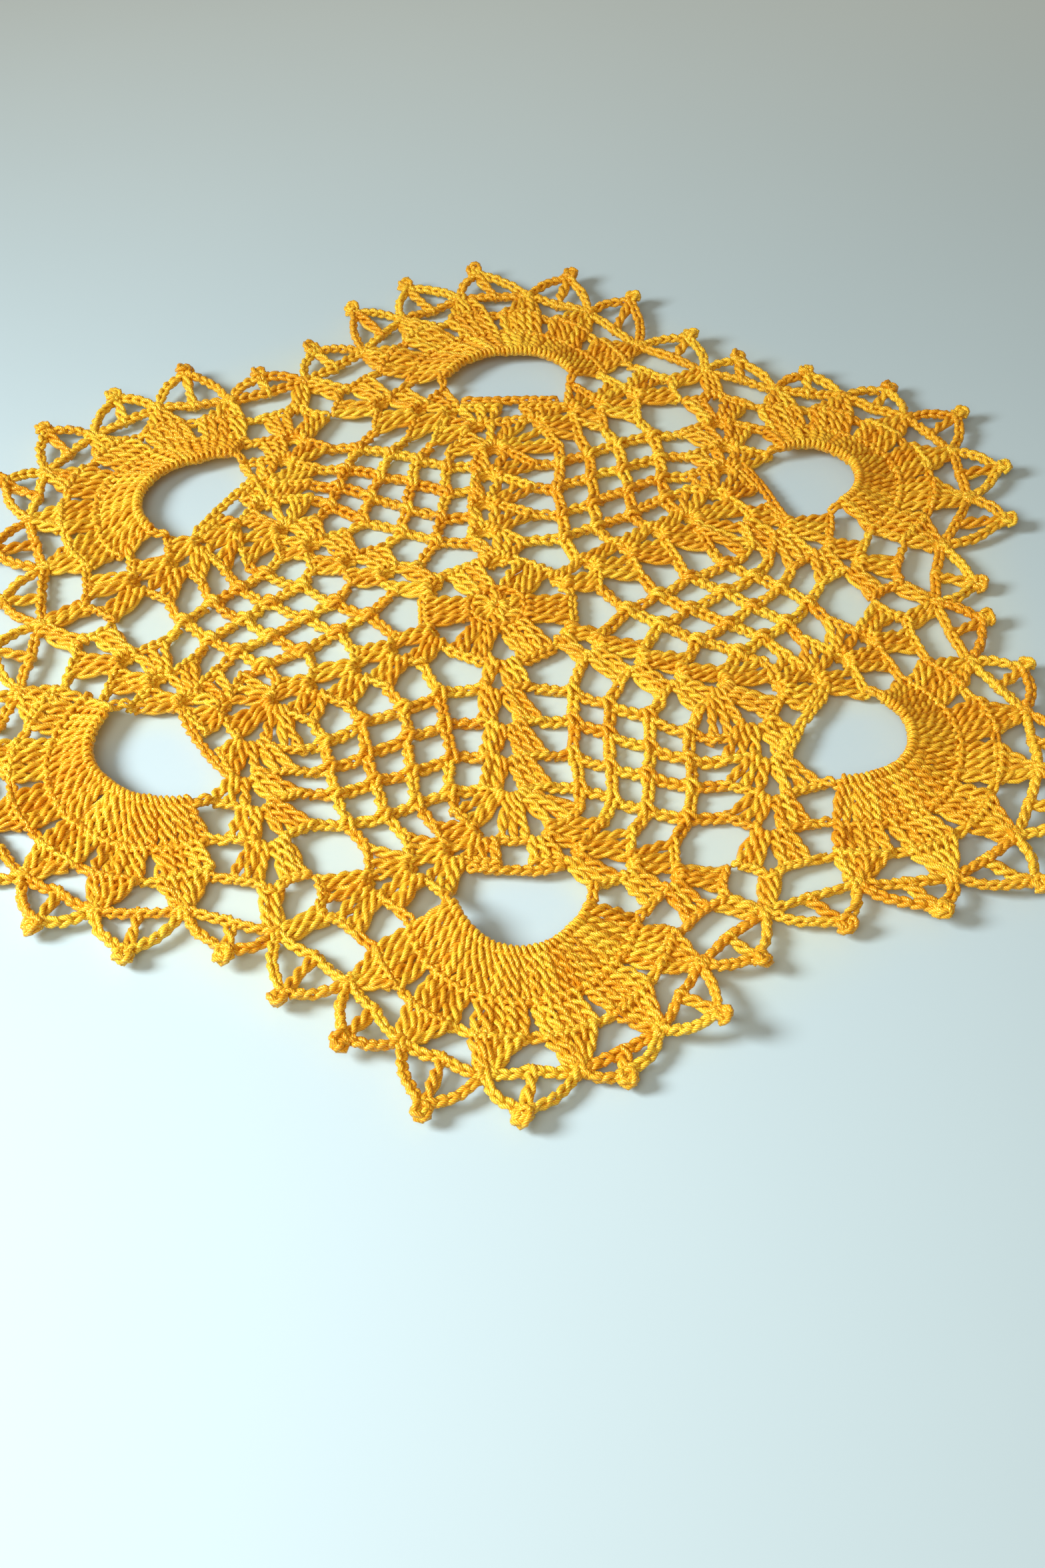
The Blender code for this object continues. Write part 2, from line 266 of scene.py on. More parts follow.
def posts(bases, tops, spread=1.0, turns=None, turnEvery=None, rise=(0.0, 0.0)):
    # tall stitches: each a loop of yarn that hooks round its base and twists up to its top,
    # with the strands of its wraps behind; rise lifts its foot and its top
    bases, tops = np.asarray(bases, float), np.asarray(tops, float)
    n = len(bases)
    hook = postStitch["hook"]
    z = plan["height"] + rng.uniform(*postStitch["footKnock"], n)
    base = np.c_[bases, z + rise[0]]
    top = np.c_[tops, z + rise[1] + rng.uniform(*postStitch["topKnock"], n)]
    way = top - base
    height = np.linalg.norm(way, axis=1, keepdims=True)
    way /= height
    left = np.stack([-way[:, 1], way[:, 0], np.zeros(n)], 1)
    left /= np.linalg.norm(left, axis=1, keepdims=True)
    up = np.cross(way, left)
    share = np.linspace(1.0, postStitch["legFrom"], postStitch["rings"])
    if turns is None:
        turns = height / (turnEvery or postStitch["turnEvery"])
    bend = rng.normal(0, postStitch["bend"], (n, 2))
    loose = rng.normal(0, postStitch["turnKnock"], n)
    start = rng.normal(0, postStitch["turnStart"], (n, 1))
    wide = postStitch["spread"] * spread * rng.uniform(*postStitch["spreadKnock"], (n, 1))
    fade = np.exp(-(share / postStitch["hookFade"]) ** 2)[None]
    deep = postStitch["rise"] + (hook - postStitch["rise"]) * fade
    bow = np.sin(math.pi * share)[None]
    legs = []
    for half in (0.0, math.pi):
        angle = (math.pi / 2 - 2 * math.pi * turns * (1 + loose[:, None]) * share[None] + half
                 + start * share[None])
        legs.append(base[:, None] + way[:, None] * (height * share[None])[:, :, None]
                    + left[:, None] * (wide * np.cos(angle) + bend[:, :1] * bow)[:, :, None]
                    + up[:, None] * (deep * np.sin(angle) + bend[:, 1:] * bow)[:, :, None])
    # round the stitch below: just past the base, from above to below
    hooked = []
    for angle in np.radians([50, 0, -50]):
        past = way * postStitch["hookPast"] * math.cos(angle)
        hooked.append(base - past + up * hook * math.sin(angle))
    hooked = np.stack(hooked, 1)
    yarn = np.concatenate([legs[0], hooked, legs[1][:, ::-1]], 1)
    yarn += rng.normal(0, postStitch["knock"], yarn.shape)
    made = list(yarn)
    backShare = np.linspace(postStitch["backFrom"], postStitch["backTo"], postStitch["backSections"])
    phase = rng.uniform(0, 1, (n, 1))
    wave = np.cos(2 * math.pi * (backShare[None] * postStitch["backTurns"] + phase))
    for side in (-1, 1):
        sway = side * postStitch["backWidth"] * wave
        depth = postStitch["backDepth"] + postStitch["backApart"] * side
        made += list(base[:, None] + way[:, None] * (height * backShare[None])[:, :, None]
                     + left[:, None] * sway[:, :, None] - up[:, None] * depth)
    return made


knotStitch = {
    "lean": 0.2,
    "low": 0.95,  # how flat it lies
    "knock": 0.05,
    # out, across and up of the yarn, one leg; the other mirrors it
    "yarn": np.array([
        (1.25, 1.00, -0.25), (0.75, 0.84, 0.45), (0.10, 0.62, 0.92), (-0.55, 0.42, 0.92),
        (-1.05, 0.34, 0.40), (-1.10, 0.26, -0.30), (-0.70, 0.12, -0.75),
    ]),
}


def knot(at, out, size=1.0):
    # a short stitch that holds a chain to the loop below it: an arch of yarn over the crossing
    out = unit(np.asarray(out, float))
    across = np.array([-out[1], out[0]])
    turn = rng.normal(0, knotStitch["lean"])
    ahead = out * math.cos(turn) + across * math.sin(turn)
    beside = across * math.cos(turn) - out * math.sin(turn)
    leg = knotStitch["yarn"] * size
    both = np.vstack([leg, leg[::-1] * (1, -1, 1)])
    yarn = np.c_[at + both[:, :1] * ahead + both[:, 1:2] * beside,
                 plan["height"] + both[:, 2] * knotStitch["low"]]
    return yarn + rng.normal(0, knotStitch["knock"], yarn.shape)


lie = {
    "level": 0.45, "longWave": 0.28, "shortWave": 0.22,  # heights of the lace above flat
    "rimFrom": 72, "rimOver": 26, "rimCalm": 0.35,  # the waves are lower towards the points
    # (x, y, height, reach) of raised places; the edging's points are added to them
    "raised": [(-11.0, -66.5, 2.4, 7.0), (36.0, -92.0, 2.2, 12.0), (60.0, -84.0, 1.4, 9.0),
               (92.0, -40.0, 1.2, 10.0)],
}


def lay(x, y):
    # how high the settled lace stands above its flat lie
    wave = (lie["level"] + lie["longWave"] * np.sin(x / 17.0 + 0.6) * np.cos(y / 21.0 - 0.4)
            + lie["shortWave"] * np.sin(x / 9.5 - y / 13.0 + 2.0))
    rim = np.clip((np.hypot(x, y) - lie["rimFrom"]) / lie["rimOver"], 0, 1)
    raised = np.zeros_like(x)
    for tipX, tipY, height, reach in lie["raised"]:
        raised += height * np.exp(-((x - tipX) ** 2 + (y - tipY) ** 2) / reach ** 2)
    return wave * (1 - lie["rimCalm"] * rim) + raised


yarnMake = {
    "sides": 5, "twistPitch": 0.43, "plies": 5,
    "clear": 0.05,  # the least gap between the yarn and the table
    "bakeAround": 2.6, "bakeAlong": 0.56,  # size of the yarn in one cell of the bake map
    "bakeEdge": 0.04,  # share of a cell left free on each side
}


def laidRows(strands, radius):
    # the strands as rows of one length, the short ones run on straight, laid on the table
    count = np.array([len(s) for s in strands])
    longest = count.max()
    rows = np.zeros((len(strands), longest, 3))
    for row, strand in enumerate(strands):
        rows[row, :count[row]] = strand
        past = np.arange(1, longest - count[row] + 1)[:, None]
        rows[row, count[row]:] = strand[-1] + (strand[-1] - strand[-2]) * past
    flat = rows.reshape(-1, 3)
    xy = settle(flat[:, :2])
    z = np.maximum(flat[:, 2] + lay(xy[:, 0], xy[:, 1]), radius + yarnMake["clear"])
    return np.c_[xy, z].reshape(rows.shape), count


def mirrored(v, across):
    # v mirrored in the plane that the second direction stands square to
    square = (across * across).sum(1, keepdims=True) + 1e-12
    return v - 2 / square * (across * v).sum(1, keepdims=True) * across


def carriedFrame(p):
    # two directions square to each row, carried along it without turning about it
    way = np.empty_like(p)
    way[:, 1:-1] = p[:, 2:] - p[:, :-2]
    way[:, 0] = p[:, 1] - p[:, 0]
    way[:, -1] = p[:, -1] - p[:, -2]
    way /= np.linalg.norm(way, axis=2, keepdims=True) + 1e-12
    first = np.cross(way[:, 0], [0.0, 0.0, 1.0])
    small = np.linalg.norm(first, axis=1) < 0.2
    first[small] = np.cross(way[small, 0], [1.0, 0.0, 0.0])
    first /= np.linalg.norm(first, axis=1, keepdims=True)
    beside = np.empty_like(p)
    beside[:, 0] = first
    for k in range(p.shape[1] - 1):
        step = p[:, k + 1] - p[:, k]
        bent = way[:, k + 1] - mirrored(way[:, k], step)
        beside[:, k + 1] = mirrored(mirrored(beside[:, k], step), bent)
    return beside, np.cross(way, beside)


def faceMap(low, high, near, far):
    # map places of four-sided faces: low to high along the yarn, near to far round it
    low, high, near, far = np.broadcast_arrays(low, high, near, far)
    u = np.stack([low, low, high, high], 2)
    v = np.stack([near, far, far, near], 2)
    return np.stack([u.reshape(-1), v.reshape(-1)], 1)


def bakeMap(sections, near, far):
    # every section of yarn has its own cell, laid out in rows
    across = max(1, int(math.sqrt(sections * yarnMake["bakeAround"] / yarnMake["bakeAlong"])))
    down = math.ceil(sections / across)
    column, line = np.arange(sections) % across, np.arange(sections) // across
    edge = yarnMake["bakeEdge"]
    inner = 1 - 2 * edge
    return faceMap((column / across)[:, None], ((column + 1) / across)[:, None],
                   (line[:, None] + edge + inner * near[None]) / down,
                   (line[:, None] + edge + inner * far[None]) / down)


def newMesh(name, vertices, loops, sizes, maps, tone):
    data = bpy.data.meshes.new(name)
    data.vertices.add(len(vertices))
    data.vertices.foreach_set("co", vertices.astype(np.float32).reshape(-1))
    data.loops.add(len(loops))
    data.loops.foreach_set("vertex_index", loops.astype(np.int32))
    data.polygons.add(len(sizes))
    starts = np.concatenate([[0], np.cumsum(sizes)[:-1]])
    data.polygons.foreach_set("loop_start", starts.astype(np.int32))
    data.update(calc_edges=True)
    data.polygons.foreach_set("use_smooth", np.ones(len(sizes), bool))
    for mapName, uv in maps.items():
        layer = data.uv_layers.new(name=mapName, do_init=False)
        layer.uv.foreach_set("vector", uv.astype(np.float32).reshape(-1))
    layer = data.attributes.new("tone", "FLOAT", "POINT")
    layer.data.foreach_set("value", tone.astype(np.float32))
    data.validate()
    return data


def yarnMesh(name, strands, radius):
    # turns lists of yarn sections into one mesh of round yarn, with a map for the twist
    p, count = laidRows(strands, radius)
    rows, longest = p.shape[:2]
    beside, over = carriedFrame(p)
    sides = yarnMake["sides"]
    turn = 2 * math.pi * np.arange(sides)[:, None] / sides
    ring = p[:, :, None] + radius * (beside[:, :, None] * np.cos(turn)
                                     + over[:, :, None] * np.sin(turn))
    used = np.arange(longest)[None] < count[:, None]
    number = np.full((rows, longest), -1)
    number[used] = np.arange(used.sum())
    vertices = ring[used].reshape(-1, 3) * mm
    gaps = np.linalg.norm(np.diff(p, axis=1), axis=2)
    along = np.concatenate([np.zeros((rows, 1)), np.cumsum(gaps, 1)], 1)
    along += rng.uniform(0, 5, (rows, 1))
    joined = used[:, :-1] & used[:, 1:]
    r, k = np.nonzero(joined)
    low, high = number[r, k][:, None] * sides, number[r, k + 1][:, None] * sides
    j = np.arange(sides)
    beyond = (j + 1) % sides
    quads = np.stack([low + j, low + beyond, high + beyond, high + j], 2).reshape(-1, 4)
    near, far = j / sides, (j + 1) / sides
    yarnUv = faceMap(along[r, k][:, None], along[r, k + 1][:, None], near[None], far[None])
    bakeUv = bakeMap(len(r), near, far)
    # flat ends
    starts = number[:, 0] * sides
    ends = number[np.arange(rows), count - 1] * sides
    loops = np.concatenate([quads.reshape(-1), (starts[:, None] + j[::-1]).reshape(-1),
                            (ends[:, None] + j).reshape(-1)])
    sizes = np.concatenate([np.full(len(quads), 4), np.full(2 * rows, sides)])
    endUv = np.zeros((2 * rows * sides, 2))
    maps = {"yarn": np.concatenate([yarnUv, endUv]), "OFBake": np.concatenate([bakeUv, endUv])}
    tone = np.repeat(rng.uniform(0, 1, rows), count * sides)
    piece = bpy.data.objects.new(name, newMesh(name, vertices, loops, sizes, maps, tone))
    bpy.context.scene.collection.objects.link(piece)
    yarnLength = float(gaps[joined].sum())
    print(f"{name}: {rows} strands, {yarnLength / 1000:.1f} m of yarn, "
          f"{int((sizes - 2).sum())} triangles")
    return piece, yarnLength


# the strands of each piece, filled stitch by stitch
spokes, branches, rims, petals, loops, edges = [], [], [], [], [], []


shellShape = {
    "perSide": 3,
    "arc": 78,  # the stitches hook round their hole this far to each side, degrees
    "foot": (2.15, 2.5),  # and this far from its middle
    "innerReach": 2.4,  # from the space's middle to the nearest stitch
    "innerOut": 0.5,
    "rise": (0.40, -0.10),
    "overSide": (1.3, 1.7),  # the two chains over the space: their ends, side and ahead
    "overMiddle": 2.15,
    "space": ((0.50, 1.50), (0.75, 0.95)),  # the chain of a space: depth and reach
}
heads = {"roll": 32, "pitch": 1.6, "lift": 0.15}  # the row of heads along a row's top


def spaceLoop(pile, hole, ahead, right):
    # the chain of the space itself, low under the stitches that hook round it
    turns = np.radians(np.linspace(-85, 85, 7))
    for low, reach in shellShape["space"]:
        pile.append(np.array([[*(hole + reach * (ahead * math.cos(a) + right * math.sin(a))),
                               plan["height"] - low] for a in turns]))


def headLine(points, past=0.45):
    # the line of a row's heads, a little past the tops of its stitches
    points = np.asarray(points)
    first, last = points[0], points[-1]
    return np.vstack([first - unit(points[1] - first) * past, points,
                      last + unit(last - points[-2]) * past])


def shell(pile, hole, space, ends, arc=shellShape["arc"], innerReach=shellShape["innerReach"]):
    # a fan of tall stitches worked over one space, with a two-chain space of its own
    ahead = unit(space - hole)
    right = np.array([ahead[1], -ahead[0]])
    perSide = shellShape["perSide"]
    tops = []
    for sign, end in zip((-1, 1), ends):
        inner = space + right * sign * innerReach + ahead * shellShape["innerOut"]
        row = [inner + (end - inner) * t for t in np.linspace(0, 1, perSide)]
        tops.append(row[::-1] if sign < 0 else row)
    angles = np.radians(np.linspace(-arc, arc, 2 * perSide))
    reach = rng.uniform(*shellShape["foot"])
    bases = [hole + reach * (ahead * math.cos(a) + right * math.sin(a)) for a in angles]
    pile.extend(posts(bases, tops[0] + tops[1], rise=shellShape["rise"]))
    spaceLoop(pile, hole, ahead, right)
    side, out = shellShape["overSide"]
    over = [space - right * side + ahead * out, space + ahead * shellShape["overMiddle"],
            space + right * side + ahead * out]
    pile.append(chain(headLine(tops[0] + over + tops[1]), **heads))


def arch(start, apex, end, bulge=0.45):
    # control points of a loop of chain, rounded between its ends and its middle
    middle = (start + apex + end) / 3
    line = [start]
    for a, b in ((start, apex), (apex, end)):
        half = (a + b) / 2
        line.append(half + unit(half - middle) * bulge * rng.uniform(0.5, 1.3))
        line.append(b)
    return np.array(line)


spokeStitches = {
    "radius": 0.44, "flat": (0.1130, 0.1205), "area": 0.0136,
    # the middle: a ring, six pairs of stitches in it, then six arms with chain loops between
    "core": 1.2, "ring": 4.9, "stitchFoot": 1.15, "stitchHead": 4.7,
    "pairTurn": 9.5,  # degrees each stitch of a pair stands from the middle between two arms
    "armFoot": 5.3, "armFeet": (-2.1, -0.75, 0.75, 2.1),
    "armHead": 12.5, "armHeads": (-2.7, -0.9, 0.9, 2.7),
    "armTop": 12.9, "armTops": (2.9, 1.0, -1.0, -2.9),
    "armSpace": (0, 11.6),
    "loopEnd": (3.2, 12.7), "loopSide": (2.0, 12.9), "loopMiddle": (0, 13.5),
    # where each spoke's two-chain spaces lie, round by round: side and out
    "spaces": [
        [(-3.0, 20.3), (-3.2, 28.4), (-2.8, 36.8), (-2.2, 44.6)],
        [(-0.6, 20.6), (-1.0, 28.0), (-0.6, 36.0), (0.0, 43.6)],
        [(0.6, 19.6), (0.3, 27.3), (1.0, 35.5), (1.2, 43.0)],
        [(1.6, 17.8), (0.9, 25.8), (1.3, 33.0), (1.0, 41.0)],
        [(0.3, 17.7), (0.0, 25.7), (0.0, 33.4), (-1.4, 40.6)],
        [(-1.5, 18.6), (-1.9, 26.2), (-2.4, 33.8), (-2.6, 41.0)],
    ],
    "firstArc": 66,
    # the nine stitches of round 7: two at each end, and those that carry its two spaces
    "nineFoot": 2.1, "nineArc": 84, "nineRise": (0.40, 0.0),
    "nineEnds": ((10.4, 45.6), (8.7, 47.8)), "nineLow": (2.4, -0.9), "nineHigh": (2.1, 1.7),
    "nineMiddle": 1.9,
}


def heartAndArms():
    # round 1: six pairs in a ring, round 2: six arms of four with chain loops between
    look = spokeStitches
    pairs = [60 * k + 30 + side * look["pairTurn"] for k in range(6) for side in (-1, 1)]
    spokes.extend(posts(circle(np.arange(12) * 30 + 15) * look["stitchFoot"],
                        circle(pairs) * look["stitchHead"], spread=0.85, turns=0.8))
    spokes.append(chain(circle(np.arange(0, 361, 30)) * look["ring"], roll=20, count=17, lift=0.15))
    spokes.append(chain(circle(np.arange(0, 361, 60)) * look["core"], roll=0, count=5, lift=-0.1))
    for k in range(plan["repeats"]):
        axis = fanAxis(k)
        spokes.extend(posts([place(u, look["armFoot"], axis) for u in look["armFeet"]],
                            [place(u, look["armHead"], axis) for u in look["armHeads"]],
                            spread=1.05))
        top = [place(u, look["armTop"], axis) for u in look["armTops"]]
        spokes.append(chain(headLine(top), roll=40, count=4, lift=-0.1))
        between = scallopAxis(k - 1)
        (end, endOut), (side, sideOut) = look["loopEnd"], look["loopSide"]
        loop = [place(-end, endOut, axis), place(side, sideOut, between),
                place(*look["loopMiddle"], between), place(-side, sideOut, between),
                place(end, endOut, fanAxis(k + 1))]
        spokes.append(chain(loop, count=4, roll=eitherWay(20)))


# how each fork lies, scallop by scallop: side and out, left then right
forkLie = {
    "space7": [((-6.0, 51.6), (4.5, 52.6)), ((-4.0, 52.4), (3.2, 52.6)), ((-3.7, 51.4), (4.4, 51.2)),
               ((-3.0, 50.6), (5.5, 50.5)), ((-4.8, 49.9), (3.4, 49.8)), ((-5.6, 49.4), (1.8, 50.0))],
    "hole8": [((-11.0, 56.6), (10.8, 56.4)), ((-10.6, 57.4), (8.2, 56.6)),
              ((-10.0, 56.2), (9.4, 56.4)), ((-7.7, 55.1), (10.5, 54.6)),
              ((-9.6, 54.8), (9.3, 54.2)), ((-11.2, 54.6), (7.2, 54.2))],
    "under": [((-3.2, 58.4), (1.6, 58.2)), ((-3.7, 58.6), (3.2, 58.4)), ((-3.2, 57.2), (2.2, 57.2)),
              ((-2.0, 57.0), (4.0, 56.8)), ((-3.0, 55.9), (3.1, 55.7)), ((-4.2, 56.5), (1.4, 55.6))],
    "bridge": [((-9.8, 60.4), (-4, 60.2), (0, 60.2), (4, 60.1), (8.4, 60.0)),
               ((-9.6, 60.6), (-4, 60.7), (0, 60.5), (4, 60.4), (8.6, 60.0)),
               ((-9.6, 58.8), (-4, 59.2), (0, 59.2), (4, 59.1), (9.2, 58.4)),
               ((-6.6, 58.0), (-3, 58.9), (0, 58.8), (4, 58.5), (8.6, 58.1)),
               ((-9.4, 57.6), (-4, 57.4), (0, 56.6), (4, 56.9), (8.6, 57.2)),
               ((-11.2, 58.2), (-6, 58.1), (-1, 57.5), (3, 56.8), (6.4, 56.4))],
    "tip": [((-13.4, 64.7), (11.3, 65.2)), ((-12.7, 64.6), (11.8, 64.8)),
            ((-12.1, 64.2), (13.9, 65.0)), ((-11.3, 62.3), (12.2, 64.6)),
            ((-11.0, 64.0), (11.3, 64.6)), ((-11.0, 64.4), (9.7, 64.2))],
    "corner": [((-13.6, 67.5), (12.3, 67.4)), ((-13.3, 67.4), (13.3, 67.8)),
               ((-12.1, 66.8), (15.3, 68.6)), ((-10.6, 66.4), (12.4, 66.4)),
               ((-10.9, 66.3), (11.5, 66.7)), ((-10.8, 66.6), (9.1, 69.4))],
}


def spokeShells(k):
    # rounds 3 to 6 up one spoke, then the fork: nine in round 7 and two shells in round 8
    look = spokeStitches

    def at(side, out):
        return place(side, out, scallopAxis(k))

    holes = [look["armSpace"]] + look["spaces"][k]
    for row, name in enumerate(("e3", "e4", "e5", "e6")):
        ends = [fanEdge(name, k, side) for side in (-1, 1)]
        shell(spokes, at(*holes[row]), at(*holes[row + 1]), ends,
              arc=look["firstArc"] if row == 0 else shellShape["arc"])
    # round 7
    side7, out7 = holes[-1]
    bases = [at(side7 + look["nineFoot"] * math.sin(a), out7 + look["nineFoot"] * math.cos(a))
             for a in np.radians(np.linspace(-look["nineArc"], look["nineArc"], 9))]
    spaceLoop(spokes, at(side7, out7), at(0, 1), at(1, 0))
    spaces = forkLie["space7"][k]
    (leftSide, leftOut), (rightSide, rightOut) = spaces
    (lowSide, lowOut), (highSide, highOut) = look["nineLow"], look["nineHigh"]
    tops = [(-side, out) for side, out in look["nineEnds"]]
    tops += [(leftSide - lowSide, leftOut + lowOut), (leftSide + highSide, leftOut + highOut),
             ((leftSide + rightSide) / 2, (leftOut + rightOut) / 2 + look["nineMiddle"]),
             (rightSide - highSide, rightOut + highOut), (rightSide + lowSide, rightOut + lowOut)]
    tops += look["nineEnds"][::-1]
    spokes.extend(posts(bases, [at(*t) for t in tops], rise=look["nineRise"]))
    # the two chains over each space
    over = [[(x + side * 1.3, y + 1.2), (x, y + 1.9), (x - side * 1.2, y + 2.0)]
            for side, (x, y) in zip((-1, 1), spaces)]
    line = tops[:3] + over[0] + tops[3:6] + over[1][::-1] + tops[6:]
    spokes.append(chain(headLine([at(*t) for t in line]), **heads))
    # round 8, one shell each side, its inner group under the bridge
    for n, side in enumerate((-1, 1)):
        inner, outer = at(*forkLie["under"][k][n]), fanEdge("e8", k, side)
        shell(branches, at(*spaces[n]), at(*forkLie["hole8"][k][n]),
              (inner, outer) if side > 0 else (outer, inner), innerReach=2.0)
    bridge = [at(*point) for point in forkLie["bridge"][k]]
    spokes.append(chain(smoothPlan(bridge), roll=rng.uniform(0, 25), lift=0.3))


branchStitches = {
    "radius": 0.44, "flat": (0.1515, 0.1450), "area": 0.0182,
    # by rounds, side and out from the fan's axis
    "holes": ((14.7, 58.7), (9.9, 64.7), (5.6, 71.9)),
    "tips": ((15.5, 67.5), (11.5, 74.2)),
    "ties": (((15.5, 67.6), (18.9, 68.4)), ((11.5, 74.3), (15.9, 74.9))),
    # the last petal of three, drawn together at the valley
    "lastFoot": 1.7, "lastTurns": (-72, -24, 24),
    "lastTops": ((0.2, 78.9), (0.9, 79.5), (1.7, 79.9)),
}


def branchShells(k):
    # rounds 9 to 12 of the two branches that run from a fork to the fans' outer ends
    look = branchStitches
    for n, side in enumerate((-1, 1)):
        fan = fanAxis(k + 1) if side > 0 else fanAxis(k + 2)

        def at(across, out):
            return place(-side * across, out, fan)

        holes = [place(*forkLie["hole8"][k][n], scallopAxis(k))]
        holes += [at(*hole) for hole in look["holes"]]
        tips = [place(*forkLie["tip"][k][n], scallopAxis(k))]
        tips += [at(*tip) for tip in look["tips"]]
        for row, name in enumerate(("e9", "e10", "e11")):
            tip, end = tips[row], fanEdge(name, k, side)
            shell(branches, holes[row], holes[row + 1], (tip, end) if side > 0 else (end, tip))
        across, out = look["holes"][-1]
        bases = [at(across + look["lastFoot"] * math.sin(a), out + look["lastFoot"] * math.cos(a))
                 for a in np.radians(look["lastTurns"])]
        petals.extend(posts(bases, [at(*top) for top in look["lastTops"]], spread=0.85))
        # the ties to the scallop's rows
        for inside, outside in look["ties"]:
            branches.append(chain([at(*inside), at(*outside)], count=2))


scallopRims = {
    "radius": 0.43, "flat": (0.1540, 0.1670), "area": 0.0121,
    "rise": (1.8, 1.9, 2.1, 1.7, 2.0, 2.2),  # how far each eye's rim stands up
    "headRise": -0.15,
    "loopRise": 0.7,  # share of it by which the loop under the rim stands up
    "stitches": 30, "arc": 76, "foot": 10.0, "head": 17.7, "turnEvery": 3.9,
    "headTurn": (1.005, -1.5),  # the heads lean round, as a share of the angle and in degrees
    "loop": 10.3, "loopArc": 70, "headLine": 18.2, "headArc": 78,
}
petalStitches = {
    "radius": 0.44, "flat": (0.1785, 0.1930), "area": 0.0183,
    "groups": (-2, -1, 0, 1, 2),
    # round 11, degrees between a group's feet and tops and how far they are turned
    "foot": 18.2, "footStep": 4.6, "footTurn": 0.8,
    "top": 24.3, "topStep": 4.3, "topTurn": -1.6, "rise": (-0.10, 0.60),
    "headLine": 24.6, "headTurns": (-9.2, -4, 0, 4, 9.2), "headLean": -1.2, "headLift": 0.55,
    "link": ((8.4, 24.6), (12.8, 24.4), (17.2, 24.6)),  # two chains from group to group
    # round 12
    "petalFoot": 24.9, "petalStep": 4.0, "petalTurn": -1.0, "petalRise": (0.45, 0.0),
    "tipIn": 0.7, "tipStep": 0.36,
}


def eyeRim(k):
    # round 10: thirty stitches over the eye's loop, which hangs from the fork's two corners
    look = scallopRims
    steps = np.linspace(-look["arc"], look["arc"], look["stitches"])
    grow, turn = look["headTurn"]
    rims.extend(posts([roundScallop(a, look["foot"], k) for a in steps],
                      [roundScallop(a * grow + turn, look["head"], k) for a in steps],
                      turnEvery=look["turnEvery"], rise=(look["rise"][k], look["headRise"])))
    leftTip, rightTip = forkLie["tip"][k]
    leftCorner, rightCorner = forkLie["corner"][k]
    loop = [place(*leftTip, scallopAxis(k)), place(*leftCorner, scallopAxis(k))]
    loop += [roundScallop(a, look["loop"], k)
             for a in np.linspace(-look["loopArc"], look["loopArc"], 12)]
    loop += [place(*rightCorner, scallopAxis(k)), place(*rightTip, scallopAxis(k))]
    rims.append(chain(loop, roll=0, lift=look["rise"][k] * look["loopRise"]))
    top = np.linspace(-look["headArc"], look["headArc"], 16)
    rims.append(chain([roundScallop(a, look["headLine"], k) for a in top], roll=36, count=31,
                      lift=-0.1))


def petalRows(k):
    look = petalStitches
    centres = np.array(plan["petalAngles"])

    def at(angle, radius):
        return roundScallop(angle, radius, k)

    # round 11: six groups of five
    spots = [(c, j) for c in centres for j in look["groups"]]
    petals.extend(posts([at(c + j * look["footStep"] + look["footTurn"], look["foot"])
                         for c, j in spots],
                        [at(c + j * look["topStep"] + look["topTurn"], look["top"])
                         for c, j in spots], spread=1.1, rise=look["rise"]))
    for n, c in enumerate(centres):
        line = [at(c + a + look["headLean"], look["headLine"]) for a in look["headTurns"]]
        petals.append(chain(line, roll=36, count=6, lift=look["headLift"]))
        if n < len(centres) - 1:
            link = [at(c + turn, radius) for turn, radius in look["link"]]
            petals.append(chain(link, roll=eitherWay(30), count=2))
    # round 12: six petals of five, drawn together at their tips
    for c in centres:
        tip = at(c, plan["petalRadius"] - look["tipIn"])
        across, out = unit(at(c + 1, 30) - at(c - 1, 30)), at(c, 40) - at(c, 30)
        bases = [at(c + j * look["petalStep"] + look["petalTurn"], look["petalFoot"])
                 for j in look["groups"]]
        tops = [tip + across * j * look["tipStep"] for j in look["groups"]]
        petals.extend(posts(bases, tops, spread=0.95, rise=look["petalRise"]))
        petals.append(knot(at(c, plan["petalRadius"]), out, 0.9))


loopMesh = {
    "radius": 0.49, "flat": (0.1190, 0.1080), "area": 0.0116,
    "roll": 40, "lift": -0.5, "wide": 1.2,
    "apexIn": 0.45,  # how far a loop's middle hangs in from its knot
    "slack": 0.35,
    "rounds": (
        (("-e3", "m3", "e3"),),
        (("-e4", "-m4", "m3+"), ("m3+", "m4", "e4")),
        (("-e5", "-m5b", "-m4+"), ("-m4+", "m5", "m4+"), ("m4+", "m5b", "e5")),
        (("-e6", "-m6b", "-m5b+"), ("-m5b+", "-m6", "m5+"), ("m5+", "m6", "m5b+"),
         ("m5b+", "m6b", "e6")),
        (("-e7", "-m6b+"), ("-m6b+", "-m7b", "-m6+"), ("-m6+", "m7", "m6+"),
         ("m6+", "m7b", "m6b+"), ("m6b+", "e7")),
        (("-e8", "-m7b+"), ("-m7b+", "-m8", "m7+"), ("m7+", "m8", "m7b+"), ("m7b+", "e8")),
        (("-e9", "-m8+"), ("-m8+", "m9", "m8+"), ("m8+", "e9")),
        (("-e10", "m9+"), ("m9+", "e10")),
    ),
    "knots": ("m3", "m4", "-m4", "m5", "m5b", "-m5b", "m6", "-m6", "m6b", "-m6b", "m7",
              "m7b", "-m7b", "m8", "-m8", "m9"),
    "knotOut": 0.3,
}


